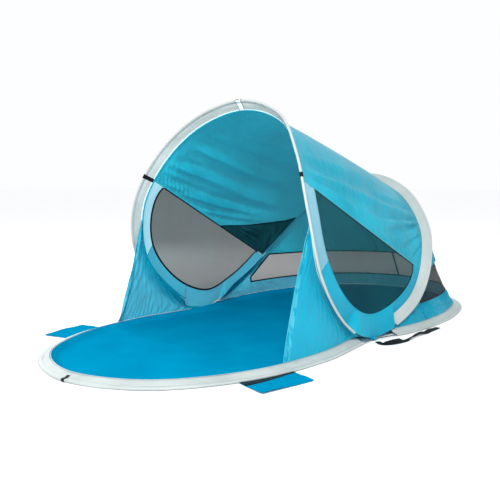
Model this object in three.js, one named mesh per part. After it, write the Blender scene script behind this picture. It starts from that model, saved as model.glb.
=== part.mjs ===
// Pop up tent: a low beach tent held open by two spring-steel hoops.
//
// The floor hoop lies on the ground as a long oval. The arch hoop is bent to a saddle: it
// rises as the front arch, comes down to a U beside each long edge of the floor, and rises
// again as the lower rear arch. Both wires run in the outer fold of flat fabric sleeves, and
// every panel is sewn to the sleeves' inner edges.
//
// Millimetres, +Z up, +X to the tent's right, the open porch towards -Y, the ground at z = 0.
import * as THREE from 'three';

// ---- Driving dimensions --------------------------------------------------------------
const CLOTH = 2.4; // model thickness of a fabric panel
const GAP = 1.2; // clearance between two pieces sewn edge to edge
const SIDE_GAP = 4.4; // and of the side panels from the arch sleeves, which twist beside them
const LAP = 4.4; // offset of a wall sewn over a sleeve's inner edge, middle to middle
const WIRE_R = 2; // spring-steel wire
const FERRULE_BORE = 2.4;
const FERRULE_R = 3.3;
const FERRULE_LENGTH = 44;
const SLEEVE_WIDTH = 46; // from the wire to the sleeve's inner edge
const SLEEVE_BORE = 3.9; // the fold's inside radius round the wire
const SLEEVE_FOLD_R = 5.6; // and its outside radius
const SLEEVE_HEM = 1.4; // half thickness at the inner edge
const FLOOR_WIRE_Z = 5.8;
const FLOOR_SLEEVE_TILT = 22; // degrees above the ground, towards the tent
const WEBBING = 25; // width of the black webbing
const WEBBING_T = 1.3;
const BINDING = [8, 1.6]; // black tape round each mesh window, width and thickness

// Right half of the floor hoop, from the front end to the rear end.
const FLOOR_HALF = [
  [0, -1255],
  [300, -1143],
  [494, -847],
  [553, -480],
  [521, -90],
  [572, 130],
  [592, 350],
  [566, 646],
  [470, 930],
  [270, 1140],
  [0, 1215],
];

// Right half of the arch hoop, from the front apex down to the ground and up to the rear apex.
const ARCH_HALF = [
  [0, -345, 1008],
  [245, -380, 938],
  [395, -464, 776],
  [492, -520, 555],
  [527, -473, 300],
  [519, -283, 95],
  [505, -70, 10],
  [530, 140, 48],
  [535, 320, 134],
  [506, 478, 276],
  [422, 620, 448],
  [240, 722, 630],
  [0, 757, 708],
];
const ARCH_BOTTOM = 0.25; // curve parameter of the U beside the floor
const BAND_ANGLES = [37, 46, 55, 28, -20, 30, 25, 40, 55]; // sleeve's lean, apex to rear apex

// Heights on the arch hoop at which seams and bands lie.
const ROOF_FRONT_Z = 690;
const WING_TOP_Z = 520;
const STRIP_END_Z = 300;
const ROOF_REAR_Z = 232;
const SLEEVE_END_Z = [58, 38]; // the front and rear arch sleeves stop above the crossing

// Side window: the distance from the arch wire to its curved edge (front, bottom, rear), and
// from the sleeves' inner edges to the ends of its straight edge.
const WINDOW_REACH = [112, 98, 106];
const WINDOW_LOWEST = 0.4; // where along the side the window's bottom lies
const WINDOW_ENDS = [78, 66];

// Rear wall: where its lower edge starts, and the heights of its window.
const REAR_WALL_Y = 105;
const REAR_WALL_PULL = 36; // how far the tight cloth draws in at mid height
const REAR_WINDOW_LOW = 100;
const REAR_WINDOW_HIGH = 248;

// Wing: where its front edge meets the floor, and where its lower edge ends.
const WING_FOOT_Y = [-675, -620]; // right and left
const WING_HEEL_Y = -175;

// Corner pocket: how far round the roof its mouth reaches, and where it starts on the seam.
const POCKET_MOUTH = [0.8, 0.57];

// Sand pocket: one flap each side of the porch.
const POCKET_EDGE = [-885, -668];
const POCKET_OUTER = [
  [613, -928],
  [655, -705],
];
const POCKET_T = 3;
const POCKET_STANDOFF = 17; // from the wire to the sewn edge

// Black strap lying on the ground beside the right crossing.
const STRAP_ROUTE = [
  [546, -88],
  [584, -112],
  [616, -76],
  [626, 40],
  [627, 190],
  [620, 330],
];

// ---- Small helpers -------------------------------------------------------------------
const vec = (x, y, z) => new THREE.Vector3(x, y, z);
const lerp = THREE.MathUtils.lerp;
const rad = THREE.MathUtils.degToRad;
const smoothstep = THREE.MathUtils.smoothstep;
const mix = (a, b, k) => a.clone().lerp(b, k);
const steps = (from, to, count) =>
  Array.from({ length: count + 1 }, (_, i) => lerp(from, to, i / count));

function closedCurve(half, z) {
  const right = half.map((p) => vec(p[0], p[1], p[2] ?? z));
  const left = right.slice(1, -1).reverse().map((p) => vec(-p.x, p.y, p.z));
  return new THREE.CatmullRomCurve3([...right, ...left], true, 'centripetal');
}

// Curve parameter in [low, high] where coordinate `key` takes the value `goal`.
function solve(curve, key, goal, low, high) {
  const rising = curve.getPoint(high)[key] > curve.getPoint(low)[key];
  for (let i = 0; i < 40; i += 1) {
    const middle = (low + high) / 2;
    if (curve.getPoint(middle)[key] < goal === rising) low = middle;
    else high = middle;
  }
  return low;
}

const wrap = (t) => ((t % 1) + 1) % 1;
const floorCurve = closedCurve(FLOOR_HALF, FLOOR_WIRE_Z);
const archCurve = closedCurve(ARCH_HALF);

function bandAngle(t) {
  const k = (t > 0.5 ? 1 - t : t) * 2 * (BAND_ANGLES.length - 1);
  const i = Math.min(BAND_ANGLES.length - 2, Math.floor(k));
  return rad(lerp(BAND_ANGLES[i], BAND_ANGLES[i + 1], smoothstep(k - i, 0, 1)));
}

// Frames: P on the wire, D across the sleeve to its inner edge, N square to the sleeve.
function archFrame(u) {
  const t = wrap(u);
  const P = archCurve.getPoint(t);
  const T = archCurve.getTangent(t);
  const inward = vec(0, P.y, 390).sub(P);
  inward.addScaledVector(T, -inward.dot(T)).normalize();
  const back = T.clone().cross(inward);
  const D = inward.multiplyScalar(Math.cos(bandAngle(t)));
  D.addScaledVector(back, Math.sin(bandAngle(t)));
  return { P, D, N: T.clone().cross(D) };
}

function floorFrame(u) {
  const P = floorCurve.getPoint(wrap(u));
  const T = floorCurve.getTangent(wrap(u));
  const D = vec(0, 0, 1).cross(T).multiplyScalar(Math.cos(rad(FLOOR_SLEEVE_TILT)));
  D.z = Math.sin(rad(FLOOR_SLEEVE_TILT));
  return { P, D, N: T.clone().cross(D) };
}

// Frames from one parameter to another. Both wire and sleeves turn at the same grid points, so
// they stay concentric along the straight stretches between them.
const ARCH_STEPS = 72;
const FLOOR_STEPS = 80;
function gridBetween(count, from, to) {
  const inner = [];
  for (let i = Math.ceil(from * count + 0.05); i < to * count - 0.05; i += 1) inner.push(i / count);
  return inner;
}
function track(frame, count, from, to) {
  const at = (t) => {
    const i = Math.floor(t * count + 1e-6);
    const [a, b] = [frame(i / count), frame((i + 1) / count)];
    const k = t * count - i;
    return { P: mix(a.P, b.P, k), D: mix(a.D, b.D, k).normalize(), N: mix(a.N, b.N, k).normalize() };
  };
  return [at(from), ...gridBetween(count, from, to).map(frame), at(to)];
}
const archTrack = (from, to) => track(archFrame, ARCH_STEPS, from, to);
const floorTrack = (from, to) => track(floorFrame, FLOOR_STEPS, from, to);
const floorParameters = (from, to) => [from, ...gridBetween(FLOOR_STEPS, from, to), to];

// A point `width` in from the wire and `lift` off the sleeve's middle surface.
const archEdge = (t, width = SLEEVE_WIDTH, lift = 0) => {
  const { P, D, N } = archFrame(t);
  return P.addScaledVector(D, width).addScaledVector(N, lift);
};
const floorEdge = (t, width = SLEEVE_WIDTH, lift = 0) => {
  const { P, D, N } = floorFrame(t);
  return P.addScaledVector(D, width).addScaledVector(N, lift);
};

// ---- Solids --------------------------------------------------------------------------
function solid(triangles) {
  let volume = 0;
  for (const [a, b, c] of triangles) volume += a.dot(b.clone().cross(c));
  const points = triangles.flatMap(([a, b, c]) => (volume < 0 ? [a, c, b] : [a, b, c]));
  const geometry = new THREE.BufferGeometry().setFromPoints(points);
  geometry.computeVertexNormals();
  return geometry;
}

// A section, with or without a hole, swept along frames and closed at both ends.
function sweep(outer, hole, frames) {
  const place = (f, [x, y]) => f.P.clone().addScaledVector(f.D, x).addScaledVector(f.N, y);
  const triangles = [];
  for (const loop of hole ? [outer, [...hole].reverse()] : [outer]) {
    const rings = frames.map((f) => loop.map((p) => place(f, p)));
    for (let i = 0; i + 1 < rings.length; i += 1) {
      loop.forEach((_, j) => {
        const k = (j + 1) % loop.length;
        triangles.push([rings[i][j], rings[i][k], rings[i + 1][k]]);
        triangles.push([rings[i][j], rings[i + 1][k], rings[i + 1][j]]);
      });
    }
  }
  const flat = (loop) => loop.map(([x, y]) => new THREE.Vector2(x, y));
  const points = hole ? [...outer, ...hole] : outer;
  const faces = THREE.ShapeUtils.triangulateShape(flat(outer), hole ? [flat(hole)] : []);
  for (const face of faces) {
    const [a, b, c] = face.map((i) => points[i]);
    const turn = (b[0] - a[0]) * (c[1] - a[1]) - (b[1] - a[1]) * (c[0] - a[0]);
    const order = turn > 0 ? [a, b, c] : [a, c, b];
    triangles.push(order.map((p) => place(frames[frames.length - 1], p)));
    triangles.push(order.reverse().map((p) => place(frames[0], p)));
  }
  return solid(triangles);
}

// A slab of cloth over a grid of middle points.
function slab(grid, thickness = CLOTH) {
  const last = grid.length - 1;
  const side = grid[0].length - 1;
  const normal = (i, j) => {
    const along = grid[Math.min(i + 1, last)][j].clone().sub(grid[Math.max(i - 1, 0)][j]);
    const across = grid[i][Math.min(j + 1, side)].clone().sub(grid[i][Math.max(j - 1, 0)]);
    return along.cross(across).normalize();
  };
  const layer = (offset) =>
    grid.map((row, i) => row.map((p, j) => p.clone().addScaledVector(normal(i, j), offset)));
  const top = layer(thickness / 2);
  const bottom = layer(-thickness / 2);
  const triangles = [];
  const quad = (a, b, c, d) => triangles.push([a, b, c], [a, c, d]);
  for (let i = 0; i < last; i += 1) {
    for (let j = 0; j < side; j += 1) {
      quad(top[i][j], top[i + 1][j], top[i + 1][j + 1], top[i][j + 1]);
      quad(bottom[i][j], bottom[i][j + 1], bottom[i + 1][j + 1], bottom[i + 1][j]);
    }
    quad(bottom[i][0], bottom[i + 1][0], top[i + 1][0], top[i][0]);
    quad(top[i][side], top[i + 1][side], bottom[i + 1][side], bottom[i][side]);
  }
  for (let j = 0; j < side; j += 1) {
    quad(top[0][j], top[0][j + 1], bottom[0][j + 1], bottom[0][j]);
    quad(bottom[last][j], bottom[last][j + 1], top[last][j + 1], top[last][j]);
  }
  return solid(triangles);
}

// Rows of points between curves `from` and `to`, held back by the given clearances.
function between(from, to, parameters, count, clear = [GAP, GAP]) {
  return parameters.map((u) => {
    const a = from(u);
    const b = to(u);
    const length = a.distanceTo(b);
    return steps(clear[0] / length, 1 - clear[1] / length, count).map((k) => mix(a, b, k));
  });
}

const mirrored = (grid) => grid.map((row) => row.map((p) => vec(-p.x, p.y, p.z)));

// ---- Materials and the object's group ------------------------------------------------
const cloth = (color, roughness = 0.45) => ({ color, roughness, metalness: 0 });
const ROOF_BLUE = cloth(0x0ab4d8);
const SIDE_BLUE = cloth(0x069fcb);
const PALE_BLUE = cloth(0x7fc9df);
const FLOOR_BLUE = cloth(0x0386b3, 0.5);
const SLEEVE_GREY = cloth(0xd5dedc, 0.6);
const MESH_BLACK = cloth(0x20282a, 0.85);
const TAPE_BLACK = cloth(0x101719, 0.7);
const STEEL = { color: 0x54585a, roughness: 0.35, metalness: 0.9 };
const BRASS = { color: 0x9a8f6a, roughness: 0.35, metalness: 0.9 };

const group = new THREE.Group();

function add(name, geometry, finish) {
  const mesh = new THREE.Mesh(geometry, new THREE.MeshStandardMaterial(finish));
  mesh.name = name;
  group.add(mesh);
}

function addPair(name, grid, finish) {
  add(`${name}_right`, slab(grid), finish);
  add(`${name}_left`, slab(mirrored(grid)), finish);
}

// ---- Seam positions ------------------------------------------------------------------
const tRoofFront = solve(archCurve, 'z', ROOF_FRONT_Z, 0, ARCH_BOTTOM);
const tWingTop = solve(archCurve, 'z', WING_TOP_Z, 0, ARCH_BOTTOM);
const tStripEnd = solve(archCurve, 'z', STRIP_END_Z, 0, ARCH_BOTTOM);
const tSleeveFront = solve(archCurve, 'z', SLEEVE_END_Z[0], 0, ARCH_BOTTOM);
const tSleeveRear = solve(archCurve, 'z', SLEEVE_END_Z[1], ARCH_BOTTOM, 0.5);
const tRoofRear = solve(archCurve, 'z', ROOF_REAR_Z, ARCH_BOTTOM, 0.5);
const floorAt = (y) => solve(floorCurve, 'y', y, 0, 0.5);

// ---- Hoops ---------------------------------------------------------------------------
function polygon(sides, radius) {
  return steps(0, 2 * Math.PI, sides)
    .slice(0, sides)
    .map((a) => [radius * Math.cos(a), radius * Math.sin(a)]);
}

// A hoop of wire whose two ends meet in a crimped ferrule at parameter `join`.
function addHoop(name, curve, along, join) {
  const slack = 0.6 / curve.getLength();
  const wire = along(join + slack, join + 1 - slack);
  add(`${name}_wire`, sweep(polygon(6, WIRE_R), null, wire), STEEL);
  const half = FERRULE_LENGTH / 2 / curve.getLength();
  const sleeve = sweep(
    polygon(6, FERRULE_R),
    polygon(6, FERRULE_BORE),
    along(join - half, join + half),
  );
  add(`${name}_ferrule`, sleeve, BRASS);
}

addHoop('floor_hoop', floorCurve, floorTrack, 0.5);
addHoop('arch_hoop', archCurve, archTrack, 0.5);

// ---- Sleeves -------------------------------------------------------------------------
const bend = SLEEVE_FOLD_R * Math.SQRT1_2;
const SLEEVE_SECTION = [
  [-SLEEVE_FOLD_R, 0],
  [-bend, -bend],
  [0, -SLEEVE_FOLD_R],
  [SLEEVE_WIDTH, -SLEEVE_HEM],
  [SLEEVE_WIDTH, SLEEVE_HEM],
  [0, SLEEVE_FOLD_R],
  [-bend, bend],
];
const addSleeve = (name, frames) =>
  add(name, sweep(SLEEVE_SECTION, polygon(6, SLEEVE_BORE), frames), SLEEVE_GREY);

addSleeve('front_arch_sleeve', archTrack(-tSleeveFront, tSleeveFront));
addSleeve('rear_arch_sleeve', archTrack(tSleeveRear, 1 - tSleeveRear));

const patchFrom = floorAt(-285);
const patchTo = floorAt(-165);
const join = 0.5 / floorCurve.getLength();
const rearSleeve = floorAt(60);
addSleeve('floor_sleeve_front', floorTrack(-patchFrom, patchFrom));
addSleeve('floor_sleeve_rear', floorTrack(rearSleeve, 1 - rearSleeve));
addSleeve('sleeve_patch_right', floorTrack(patchFrom + join, patchTo));
addSleeve('sleeve_patch_left', floorTrack(-patchTo, -patchFrom - join));

// Webbing bands: folded over a sleeve and open at its inner edge, or laid on its upper face only.
function bandSection(reach, turns = 7) {
  const half = (x, lift) => lerp(SLEEVE_FOLD_R, SLEEVE_HEM, x / SLEEVE_WIDTH) + lift;
  const side = (lift) => {
    const r = (SLEEVE_FOLD_R + lift) * Math.SQRT1_2;
    return [
      [reach, half(reach, lift)],
      [0, half(0, lift)],
      [-r, r],
      [-SLEEVE_FOLD_R - lift, 0],
      [-r, -r],
      [0, -half(0, lift)],
      [reach, -half(reach, lift)],
    ].slice(0, turns);
  };
  return [...side(0.5 + WEBBING_T), ...side(0.5).reverse()];
}

function addBand(name, track, section, finish) {
  add(name, sweep(section, null, track), finish);
}
const around = (along, curve, t, width) => {
  const half = width / 2 / curve.getLength();
  return along(t - half, t + half);
};

const foldedBand = bandSection(SLEEVE_WIDTH - 4);
const flatBand = bandSection(SLEEVE_WIDTH * 0.5, 3);
const onArch = (t, width) => around(archTrack, archCurve, t, width);
addBand('arch_band_right', onArch(tRoofFront, 18), foldedBand, TAPE_BLACK);
addBand('arch_band_left', onArch(-tRoofFront, 18), foldedBand, TAPE_BLACK);
addBand('arch_band_top', onArch(0, 26), foldedBand, SLEEVE_GREY);
addBand('floor_band_front', around(floorTrack, floorCurve, 0.004, 14), flatBand, TAPE_BLACK);

// Fabric ties that hold the two wires together at each crossing.
function addTie(name, side) {
  const arch = archCurve.getPoint(ARCH_BOTTOM);
  const floor = floorCurve.getPoint(floorAt(arch.y));
  const reach = (floor.x - arch.x) / 2 + WIRE_R;
  const rise = (arch.z - floor.z) / 2 + WIRE_R;
  const box = (m) => [
    [-reach - m, -rise - m],
    [reach + m, -rise - m],
    [reach + m, rise + m],
    [-reach - m, rise + m],
  ];
  const middle = mix(arch, floor, 0.5);
  const frames = [-9, 9].map((dy) => ({
    P: vec(side * middle.x, middle.y + dy, middle.z),
    D: vec(1, 0, 0),
    N: vec(0, 0, 1),
  }));
  add(name, sweep(box(3.6), box(2.2), frames), SIDE_BLUE);
}
addTie('hoop_tie_right', 1);
addTie('hoop_tie_left', -1);

// ---- Groundsheet and rim -------------------------------------------------------------
// The sheet lies flat on the ground; a rim climbs from it to the sleeve's inner edge.
const sheetWidth = SLEEVE_WIDTH + 36;
const sheetOutline = steps(0, 1, FLOOR_STEPS)
  .slice(0, -1)
  .map((t) => floorEdge(t, sheetWidth));
const sheetShape = new THREE.Shape(sheetOutline.map((p) => new THREE.Vector2(p.x, p.y)));
add(
  'groundsheet',
  new THREE.ExtrudeGeometry(sheetShape, { depth: CLOTH, bevelEnabled: false }),
  FLOOR_BLUE,
);

function addRim(name, from, to) {
  const parameters = floorParameters(from, to);
  const foot = (t) => {
    const p = floorEdge(t, sheetWidth - 2);
    p.z = CLOTH * 0.6;
    return p;
  };
  const top = (t) => floorEdge(t, SLEEVE_WIDTH + GAP + 0.6);
  add(name, slab(between(foot, top, parameters, 1, [0, 0])), FLOOR_BLUE);
}
const rimSplit = floorAt(-90);
addRim('floor_rim_front', -rimSplit, rimSplit);
addRim('floor_rim_rear', rimSplit + join, 1 - rimSplit - join);

// ---- Roof ----------------------------------------------------------------------------
// Straight lines from the front arch to the rear arch, from one side's seam to the other's.
const roofFront = (u) => archEdge(lerp(tRoofFront, -tRoofFront, u));
const roofRear = (u) => archEdge(lerp(tRoofRear, 1 - tRoofRear, u));
const roofEdge = (k) => mix(roofFront(0), roofRear(0), k);
add(
  'roof_panel',
  slab(between(roofFront, roofRear, steps(0.003, 0.997, 26), 5, [GAP + 2, GAP + 2])),
  ROOF_BLUE,
);

// ---- Sides ---------------------------------------------------------------------------
// Outer edge of the side: along the sleeves, and close to the bare wire at the crossing.
function sideOuter(t) {
  const end = Math.min(t - tSleeveFront, tSleeveRear - t) * archCurve.getLength();
  const bare = smoothstep(end, 32, 90);
  return archEdge(t, lerp(SLEEVE_WIDTH, SLEEVE_FOLD_R + 3, bare));
}

// The window's curved edge keeps its distance from the arch wire, all the way round.
const roofEdgeLength = roofEdge(0).distanceTo(roofEdge(1));
const windowShare = WINDOW_ENDS.map((d) => d / roofEdgeLength);
const windowChord = (u) => roofEdge(lerp(windowShare[0], 1 - windowShare[1], u));
function windowCurve(u) {
  const wire = archCurve.getPoint(lerp(tRoofFront, tRoofRear, u));
  const chord = windowChord(u);
  const [front, bottom, rear] = WINDOW_REACH;
  const fall = lerp(front, bottom, smoothstep(u, 0, WINDOW_LOWEST));
  const reach = fall + (rear - bottom) * smoothstep(u, WINDOW_LOWEST, 1);
  const most = wire.distanceTo(chord) * 0.94;
  return wire.addScaledVector(chord.sub(wire).normalize(), Math.min(reach, most));
}
const sideU = (t) => (t - tRoofFront) / (tRoofRear - tRoofFront);
const sideAt = (u) => sideOuter(lerp(tRoofFront, tRoofRear, u));
const stripEnd = sideU(tStripEnd);

addPair(
  'side_strip',
  between(sideAt, windowCurve, steps(0.012, stripEnd - 0.0015, 12), 2, [SIDE_GAP, GAP]),
  PALE_BLUE,
);
addPair(
  'side_panel',
  between(sideAt, windowCurve, steps(stripEnd + 0.0015, 0.99, 24), 2, [SIDE_GAP, GAP]),
  SIDE_BLUE,
);
addPair(
  'side_window',
  between(windowCurve, windowChord, steps(0.035, 0.965, 20), 3, [GAP, GAP + 1]),
  MESH_BLACK,
);

// ---- Wings ---------------------------------------------------------------------------
const wingTop = (u) => archEdge(lerp(tWingTop, tSleeveFront, u), SLEEVE_WIDTH, -LAP);
function wingGrid(foot) {
  const wingFoot = (u) => floorEdge(floorAt(lerp(foot, WING_HEEL_Y, u)), SLEEVE_WIDTH - 3, LAP);
  return between(wingTop, wingFoot, steps(0, 1, 16), 5);
}
add('wing_right', slab(wingGrid(WING_FOOT_Y[0])), SIDE_BLUE);
add('wing_left', slab(mirrored(wingGrid(WING_FOOT_Y[1]))), SIDE_BLUE);

// ---- Rear wall -----------------------------------------------------------------------
// Straight lines from the rear hoop's fold down to the floor, from the leg's foot to the centre.
const foldLap = SLEEVE_FOLD_R + CLOTH / 2 + GAP;
const rearTop = (u) => archEdge(lerp(tSleeveRear, 0.5, u), 0, -foldLap);
const rearFoot = (u) => floorEdge(lerp(floorAt(REAR_WALL_Y), 0.5, u), SLEEVE_WIDTH - 3, LAP);
const rearAt = (u, z) => {
  const foot = rearFoot(u);
  const top = rearTop(u);
  const k = THREE.MathUtils.clamp((z - foot.z) / (top.z - foot.z), 0, 1);
  const pull = REAR_WALL_PULL * 4 * k * (1 - k) * Math.sin(Math.PI * u);
  const p = mix(foot, top, k);
  return p.addScaledVector(vec(-p.x, -p.y, 0).normalize(), pull);
};
const windowHead = (u) => Math.min(REAR_WINDOW_HIGH, rearTop(u).z - 22);
const endU = solve(
  { getPoint: (u) => ({ z: rearTop(u).z }) },
  'z',
  REAR_WINDOW_LOW + 48,
  0,
  1,
);
const centre = 0.997;
const rearLow = (u) => rearAt(u, u < endU ? 2000 : REAR_WINDOW_LOW);

addPair(
  'rear_low_wall',
  between(
    rearFoot,
    rearLow,
    [...steps(0.01, endU - 0.008, 6), ...steps(endU + 0.004, centre, 14)],
    3,
    [GAP, GAP],
  ),
  SIDE_BLUE,
);
addPair(
  'rear_window',
  between(
    (u) => rearAt(u, REAR_WINDOW_LOW),
    (u) => rearAt(u, windowHead(u)),
    steps(endU + 0.012, centre, 14),
    3,
    [0, 0],
  ),
  MESH_BLACK,
);
addPair(
  'rear_upper_wall',
  between((u) => rearAt(u, windowHead(u)), rearTop, steps(endU + 0.012, centre, 14), 4),
  ROOF_BLUE,
);

// ---- Black tape round the windows, on the inside faces --------------------------------
// A flat tape along a route; each stop also holds a direction `across` that lies in the wall.
function tape(route, standOff) {
  const [width, thickness] = BINDING;
  const frames = route.map(({ p, across }, i) => {
    const ahead = route[Math.min(i + 1, route.length - 1)].p.clone();
    const T = ahead.sub(route[Math.max(i - 1, 0)].p).normalize();
    const N = T.clone().cross(across).normalize();
    if (N.x * p.x + N.y * Math.max(0, p.y) > 0) N.negate();
    const P = p.clone().addScaledVector(N, (CLOTH + thickness) / 2 + standOff);
    return { P, D: N.clone().cross(T), N };
  });
  const [w, t] = [width / 2, thickness / 2];
  const section = [
    [-w, -t],
    [w, -t],
    [w, t],
    [-w, t],
  ];
  return sweep(section, null, frames);
}

function addTapes(name, route, standOff) {
  const flip = (v) => vec(-v.x, v.y, v.z);
  add(`${name}_right`, tape(route, standOff), TAPE_BLACK);
  const left = route.map(({ p, across }) => ({ p: flip(p), across: flip(across) }));
  add(`${name}_left`, tape(left, standOff), TAPE_BLACK);
}

const sideStops = steps(0.05, 0.95, 30).map((u) => {
  const p = windowCurve(u);
  return { p, across: windowChord(u).sub(p) };
});
addTapes('side_window_tape', sideStops, 3);

const rearStop = (height) => (u) => ({
  p: rearAt(u, height(u)),
  across: rearAt(u, height(u) + 20).sub(rearAt(u, height(u) - 20)),
});
const rearStops = [
  ...steps(centre - 0.012, endU + 0.03, 14).map(rearStop(() => REAR_WINDOW_LOW - 1)),
  ...steps(endU + 0.04, centre - 0.012, 14).map(rearStop((u) => windowHead(u) + 1)),
];
addTapes('rear_window_tape', rearStops, 3);

// ---- Inner corner pocket, left rear of the roof ---------------------------------------
// Its mouth slants from the side seam up to the rear arch; seam and arch are its other sides.
const roofAt = (u, k) => mix(roofFront(u), roofRear(u), k);
const pocketMouth = (s) => roofAt(lerp(0.985, POCKET_MOUTH[0], s), lerp(POCKET_MOUTH[1], 0.965, s));
const pocketSeam = (s) => roofAt(0.985, lerp(POCKET_MOUTH[1] + 0.03, 0.965, s));
const inward = vec(0.62, -0.1, -0.78).multiplyScalar(CLOTH + 1.4);
add(
  'corner_pocket',
  slab(
    between(pocketMouth, pocketSeam, steps(0.1, 1, 8), 3, [0, 0]).map((row) =>
      row.map((p) => p.clone().add(inward)),
    ),
  ),
  MESH_BLACK,
);

// ---- Sand pockets --------------------------------------------------------------------
function sandPocket(side) {
  const sewn = POCKET_EDGE.map((y) => {
    const { P, D } = floorFrame(floorAt(y));
    const out = vec(-D.x, -D.y, 0).normalize();
    return P.addScaledVector(out, POCKET_STANDOFF);
  });
  const outline = [sewn[0], sewn[1], ...POCKET_OUTER.slice().reverse().map(([x, y]) => vec(x, y, 0))];
  const shape = new THREE.Shape(outline.map((p) => new THREE.Vector2(side * p.x, p.y)));
  return new THREE.ExtrudeGeometry(shape, { depth: POCKET_T, bevelEnabled: false });
}
add('sand_pocket_right', sandPocket(1), FLOOR_BLUE);
add('sand_pocket_left', sandPocket(-1), FLOOR_BLUE);

// ---- Strap ---------------------------------------------------------------------------
const strapCurve = new THREE.CatmullRomCurve3(
  STRAP_ROUTE.map(([x, y]) => vec(x, y, 1.4)),
  false,
  'centripetal',
);
const strapFrames = steps(0, 1, 28).map((u) => {
  const T = strapCurve.getTangentAt(u);
  const D = vec(0, 0, 1).cross(T).normalize();
  return { P: strapCurve.getPointAt(u), D, N: vec(0, 0, 1) };
});
const half = WEBBING / 2;
const STRAP_SECTION = [
  [-half, -1],
  [half, -1],
  [half, 1],
  [-half, 1],
];
add('tie_strap', sweep(STRAP_SECTION, null, strapFrames), TAPE_BLACK);

// The origin is the middle of the footprint, on the ground.
group.position.y = 20;

export default group;
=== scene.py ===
"""Looks of the pop up tent: two spring hoops in pale sleeves, with fabric and mesh sewn between them.

The hoops' curves and the seam positions are the ones the CAD part is built on, in metres and in the row
frame (+X right, +Z up, the open porch towards -Y). Every panel is one sheet between shared seam lines.
"""

import math

import bmesh
import bpy
import numpy as np
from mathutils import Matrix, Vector


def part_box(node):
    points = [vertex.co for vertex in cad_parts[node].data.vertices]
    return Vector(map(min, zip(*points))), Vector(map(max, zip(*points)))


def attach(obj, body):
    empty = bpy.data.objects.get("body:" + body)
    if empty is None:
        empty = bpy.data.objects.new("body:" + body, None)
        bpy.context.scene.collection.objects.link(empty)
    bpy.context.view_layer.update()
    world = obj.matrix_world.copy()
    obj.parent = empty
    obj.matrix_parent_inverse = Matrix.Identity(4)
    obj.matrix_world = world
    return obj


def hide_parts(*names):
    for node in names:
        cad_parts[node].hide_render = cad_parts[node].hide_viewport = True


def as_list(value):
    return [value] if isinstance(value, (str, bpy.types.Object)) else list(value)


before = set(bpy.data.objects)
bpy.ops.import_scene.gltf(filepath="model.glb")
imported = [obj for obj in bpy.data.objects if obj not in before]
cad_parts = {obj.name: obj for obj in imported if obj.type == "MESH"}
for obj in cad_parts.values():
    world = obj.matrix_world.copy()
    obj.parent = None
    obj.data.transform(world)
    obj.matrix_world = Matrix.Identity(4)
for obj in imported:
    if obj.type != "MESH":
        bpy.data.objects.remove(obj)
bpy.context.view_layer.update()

# ---- Driving dimensions, as in the CAD part ----
ORIGIN = np.array([0.0, 0.02, 0.0])  # the hoops' own origin in the row frame
SLEEVE_WIDTH = 0.046
PATCH_Y, BACK_SLEEVE_Y = (-0.265, -0.145), 0.08  # ends of the floor sleeves near the crossings
WALL_LAP, WALL_LIFT = 0.001, 0.002  # where the walls are sewn to the floor sleeves
LEAST_Z = 0.0004
FOLD_R = 0.0056
WIRE_R = 0.002
FLOOR_WIRE_Z = 0.0058
FLOOR_TILT = math.radians(22)
WINDOW_REACH, WINDOW_LOWEST, WINDOW_ENDS = (0.112, 0.098, 0.106), 0.4, (0.078, 0.066)
ROOF_FRONT_Z, WING_TOP_Z, STRIP_END_Z = 0.69, 0.52, 0.3
ROOF_REAR_Z, SLEEVE_END_Z = 0.232, (0.058, 0.038)
REAR_WALL_Y, REAR_WALL_PULL = 0.1, 0.036
REAR_WINDOW_LOW, REAR_WINDOW_HIGH = 0.1, 0.248
WING_FOOT_Y, WING_HEEL_Y = (-0.655, -0.6), -0.085  # right and left foot
POCKET_EDGE = (-0.865, -0.648)
POCKET_OUTER = ((0.613, -0.908), (0.655, -0.685))
POCKET_STANDOFF = 0.017
STRAP_WIDTH = 0.025
FLOOR_HALF = [
    (0, -1.255), (0.3, -1.143), (0.494, -0.847), (0.553, -0.48), (0.521, -0.09), (0.572, 0.13),
    (0.592, 0.35), (0.566, 0.646), (0.47, 0.93), (0.27, 1.14), (0, 1.215),
]
ARCH_HALF = [
    (0, -0.345, 1.008), (0.245, -0.38, 0.938), (0.395, -0.464, 0.776), (0.492, -0.52, 0.555),
    (0.527, -0.473, 0.3), (0.519, -0.283, 0.095), (0.505, -0.07, 0.01), (0.53, 0.14, 0.048),
    (0.535, 0.32, 0.134), (0.506, 0.478, 0.276), (0.422, 0.62, 0.448), (0.24, 0.722, 0.63),
    (0, 0.757, 0.708),
]
STRAP_ROUTE = [
    (0.546, -0.088), (0.584, -0.112), (0.616, -0.076), (0.626, 0.04), (0.627, 0.19), (0.62, 0.33),
]
ARCH_BOTTOM = 0.25
WINDOW_CORNER = 0.97  # the curved edge stops short of the straight one at the window's corners
LEAN = np.radians([37, 46, 55, 28, -20, 30, 25, 40, 55])  # the arch sleeves' lean from apex to rear apex

# ---- Curves and frames ----
X, _, Z = np.eye(3)
norm = np.linalg.norm


def shares(count):
    return np.linspace(0, 1, count)


def run_along(route):
    return np.concatenate([[0], np.cumsum(norm(np.diff(route, axis=0), axis=1))])


def unit(v):
    return v / norm(v, axis=-1, keepdims=True)


def mix(a, b, k):
    return a + (b - a) * k


def smooth(low, high, x):
    k = np.clip((x - low) / (high - low), 0, 1)
    return k * k * (3 - 2 * k)


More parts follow.
